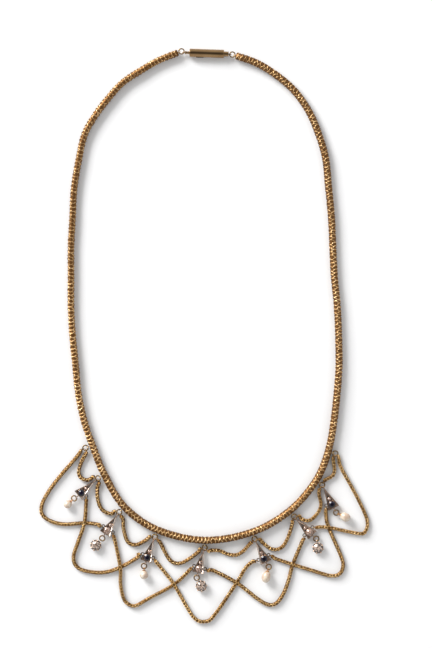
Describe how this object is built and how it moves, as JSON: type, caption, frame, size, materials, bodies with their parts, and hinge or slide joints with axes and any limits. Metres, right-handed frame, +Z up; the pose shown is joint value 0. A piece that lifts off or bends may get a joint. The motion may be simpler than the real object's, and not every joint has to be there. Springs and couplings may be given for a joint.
{
  "type": "festoon necklace",
  "caption": "Woven gold chain necklace lying flat, with swags and long festoons, pointed stone-set pendants, pearl and claw-set drops, and a barrel clasp.",
  "frame": {"origin": "on the surface that the necklace lies on, below the middle of its outline", "axes": "+Z up from the surface; +Y towards the clasp, so the festoons point towards -Y; +X to the right, seen from above"},
  "size_m": [0.1122, 0.1957, 0.0031],
  "materials": {
    "woven_gold": "woven antique gold wire, bright on its crests and dark between the links",
    "gold_wire": "worn gold wire",
    "clasp_gold": "smooth olive gold, lightly scratched",
    "white_metal": "warm grey white metal, polished and worn",
    "sapphire": "very dark blue faceted stone",
    "diamond": "clear faceted stone, greyish pink",
    "pearl": "cream pearl with a soft lustre"
  },
  "bodies": {
    "root": {"main_chain": "woven_gold", "clasp_barrel": "clasp_gold", "clasp_tongue": "clasp_gold", "clasp_ring_left": "gold_wire", "clasp_ring_right": "gold_wire", "hanger_ring_1": "gold_wire", "hanger_ring_2": "gold_wire", "hanger_ring_3": "gold_wire", "hanger_ring_4": "gold_wire", "hanger_ring_5": "gold_wire", "hanger_ring_6": "gold_wire", "hanger_ring_7": "gold_wire", "hanger_ring_8": "gold_wire", "hanger_ring_9": "gold_wire", "swag_1": "woven_gold", "swag_2": "woven_gold", "swag_3": "woven_gold", "swag_4": "woven_gold", "swag_5": "woven_gold", "swag_6": "woven_gold", "swag_7": "woven_gold", "swag_8": "woven_gold", "festoon_1": "woven_gold", "festoon_2": "woven_gold", "festoon_3": "woven_gold", "festoon_4": "woven_gold", "festoon_5": "woven_gold", "festoon_6": "woven_gold", "festoon_7": "woven_gold", "setting_1": "white_metal", "setting_2": "white_metal", "setting_3": "white_metal", "setting_4": "white_metal", "setting_5": "white_metal", "setting_6": "white_metal", "setting_7": "white_metal", "main_stone_1": "sapphire", "main_stone_2": "diamond", "main_stone_3": "sapphire", "main_stone_4": "diamond", "main_stone_5": "sapphire", "main_stone_6": "diamond", "main_stone_7": "sapphire", "small_stones": "diamond", "drop_rings": "gold_wire", "drop_mount_1": "gold_wire", "drop_mount_2": "white_metal", "drop_mount_3": "gold_wire", "drop_mount_4": "white_metal", "drop_mount_5": "gold_wire", "drop_mount_6": "white_metal", "drop_mount_7": "gold_wire", "drop_1": "pearl", "drop_2": "diamond", "drop_3": "pearl", "drop_4": "diamond", "drop_5": "pearl", "drop_6": "diamond", "drop_7": "pearl"}
  },
  "joints": []
}
